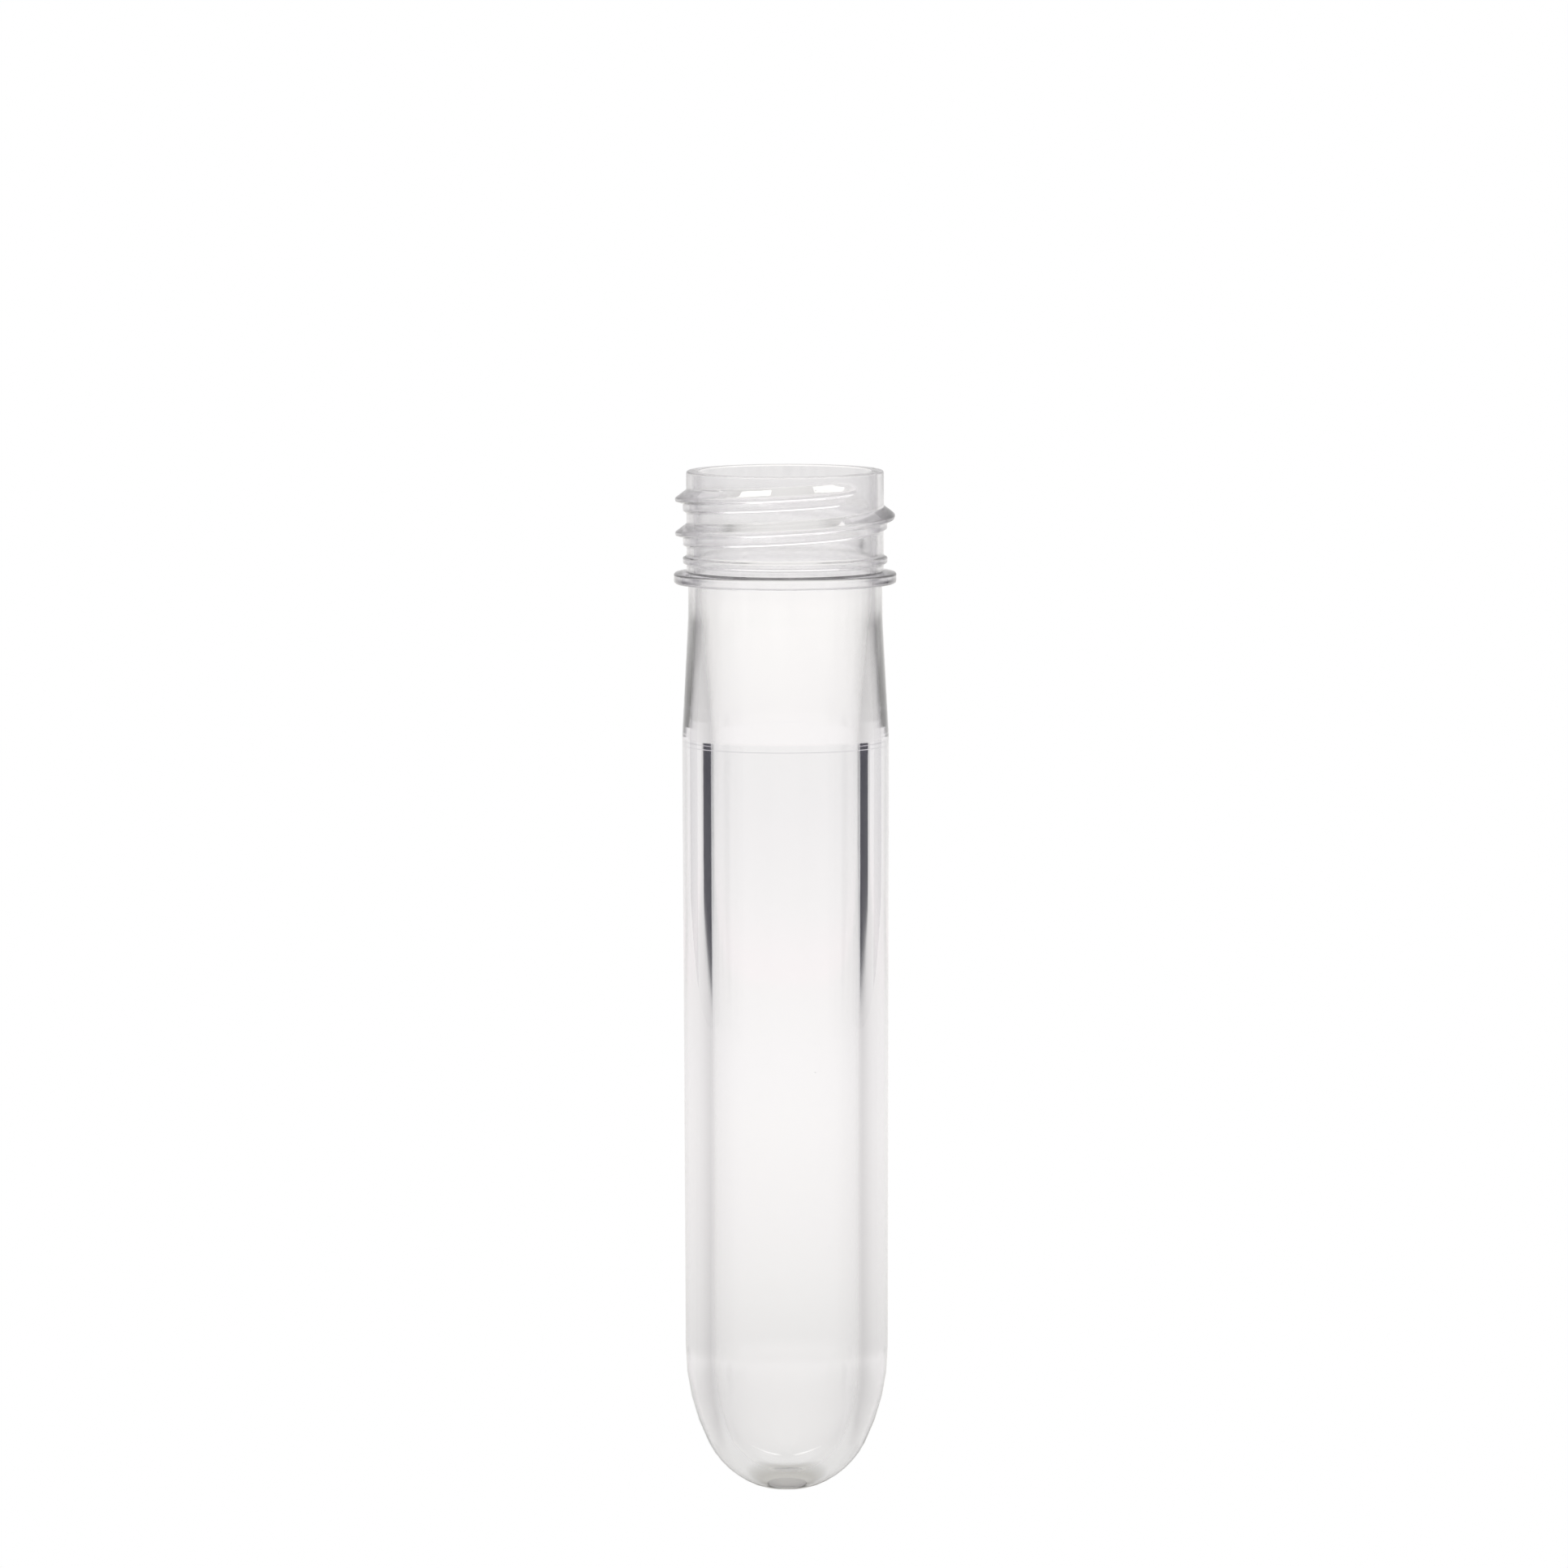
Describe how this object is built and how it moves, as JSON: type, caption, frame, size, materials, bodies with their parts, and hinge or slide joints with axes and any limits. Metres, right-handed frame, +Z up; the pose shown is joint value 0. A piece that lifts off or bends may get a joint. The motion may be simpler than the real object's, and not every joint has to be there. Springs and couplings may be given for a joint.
{
  "type": "test tube",
  "caption": "Clear round-bottomed test tube with a screw neck, support ring, tapered shoulder and thick moulded wall.",
  "frame": {"origin": "on the tube's axis, at the flat gate disc under the rounded base", "axes": "+Z up along the axis, out of the mouth; the thread's upper end is towards -Y and +X"},
  "size_m": [0.0278, 0.0278, 0.1277],
  "materials": {
    "clear_pet": "clear glossy amorphous PET, water-white, with a polished moulded surface"
  },
  "bodies": {
    "root": {"tube": "clear_pet"}
  },
  "joints": []
}
